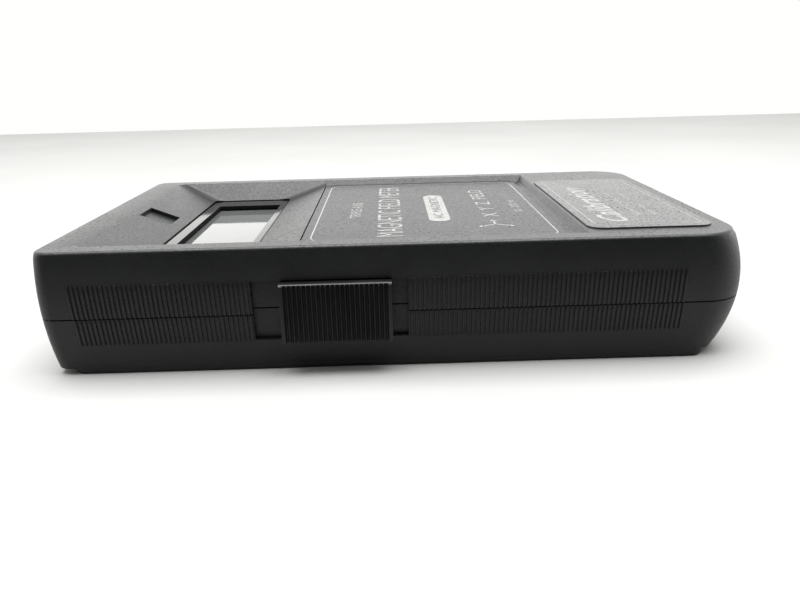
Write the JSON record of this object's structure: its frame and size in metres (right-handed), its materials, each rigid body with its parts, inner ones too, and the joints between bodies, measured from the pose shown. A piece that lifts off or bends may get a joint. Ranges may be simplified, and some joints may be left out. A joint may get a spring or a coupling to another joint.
{
  "type": "handheld magnetic field meter",
  "caption": "Hand-held triaxial magnetic field meter in a flat black case: sunken display, ribbed side grips, side power slide, slide-off battery door.",
  "frame": {"origin": "middle of the case's flat underside, at half the case's length and on its centre line", "axes": "+X along the case from the display end to the rounded battery end, +Z out of the face, +Y across the case away from the power slide"},
  "size_m": [0.1524, 0.0934, 0.029],
  "materials": {
    "black_abs": "fine textured moulding",
    "gloss_black": "polished moulding",
    "display_glass": "clear, polarised",
    "reflector_film": "brushed silver film",
    "holder_plastic": "moulded",
    "contact_rubber": "striped elastomer",
    "laminate": "solder mask over glass cloth",
    "chip_epoxy": "moulded epoxy",
    "capacitor_sleeve": "shrunk sleeve",
    "film_capacitor": "dipped",
    "trimmer_blue": "moulded",
    "trimmer_brass": "turned",
    "coil_nylon": "natural nylon",
    "copper_wire": "enamelled wire, wound",
    "switch_steel": "pressed sheet",
    "switch_lever": "moulded",
    "battery_can": "printed steel jacket",
    "terminal_steel": "nickel plated",
    "snap_vinyl": "soft vinyl",
    "red_vinyl": "wire insulation",
    "black_vinyl": "wire insulation",
    "grey_foam": "open cell foam",
    "zinc_steel": "zinc plated",
    "face_film": "printed polyester film",
    "sticker_film": "printed vinyl",
    "rating_foil": "printed foil"
  },
  "bodies": {
    "case": {"front_shell": "black_abs", "rear_shell": "black_abs", "display_bezel": "gloss_black", "lcd_panel": "display_glass", "lcd_reflector": "reflector_film", "lcd_holder": "holder_plastic", "zebra_strip_1": "contact_rubber", "zebra_strip_2": "contact_rubber", "main_board": "laminate", "display_driver_chip": "chip_epoxy", "coil_amplifier_chip_1": "chip_epoxy", "coil_amplifier_chip_2": "chip_epoxy", "rms_converter_chip": "chip_epoxy", "regulator_chip": "chip_epoxy", "electrolytic_capacitor_1": "capacitor_sleeve", "electrolytic_capacitor_2": "capacitor_sleeve", "film_capacitor_1": "film_capacitor", "film_capacitor_2": "film_capacitor", "film_capacitor_3": "film_capacitor", "trimmer_body_1": "trimmer_blue", "trimmer_body_2": "trimmer_blue", "coil_bobbin_x": "coil_nylon", "coil_bobbin_y": "coil_nylon", "coil_bobbin_z": "coil_nylon", "coil_winding_x": "copper_wire", "coil_winding_y": "copper_wire", "coil_winding_z": "copper_wire", "slide_switch_body": "switch_steel", "battery": "battery_can", "battery_terminal_positive": "terminal_steel", "battery_terminal_negative": "terminal_steel", "snap_connector": "snap_vinyl", "battery_lead_red": "red_vinyl", "battery_lead_black": "black_vinyl", "battery_pad": "grey_foam", "case_screw_1": "zinc_steel", "case_screw_2": "zinc_steel", "case_screw_3": "zinc_steel", "case_screw_4": "zinc_steel", "board_screw_1": "zinc_steel", "board_screw_2": "zinc_steel", "board_screw_3": "zinc_steel", "board_screw_4": "zinc_steel", "face_label": "face_film", "service_sticker": "sticker_film", "rating_label": "rating_foil"},
    "power_slide": {"power_knob": "black_abs", "slide_switch_lever": "switch_lever"},
    "battery_cover": {"battery_door": "black_abs"},
    "trimmer_1": {"trimmer_rotor_1": "trimmer_brass"},
    "trimmer_2": {"trimmer_rotor_2": "trimmer_brass"}
  },
  "joints": [
    {"name": "power_slide_travel", "type": "slide", "parent": "case", "child": "power_slide", "axis": [-1, 0, 0], "range_m": [0, 0.003]},
    {"name": "battery_cover_travel", "type": "slide", "parent": "case", "child": "battery_cover", "axis": [1, 0, 0], "range_m": [0, 0.034]},
    {"name": "trimmer_1_turn", "type": "hinge", "parent": "case", "child": "trimmer_1", "pos_m": [0.014, 0.01, 0.0216], "axis": [0, 0, 1], "range_deg": [-135, 135]},
    {"name": "trimmer_2_turn", "type": "hinge", "parent": "case", "child": "trimmer_2", "pos_m": [0.014, 0.024, 0.0216], "axis": [0, 0, 1], "range_deg": [-135, 135]}
  ]
}
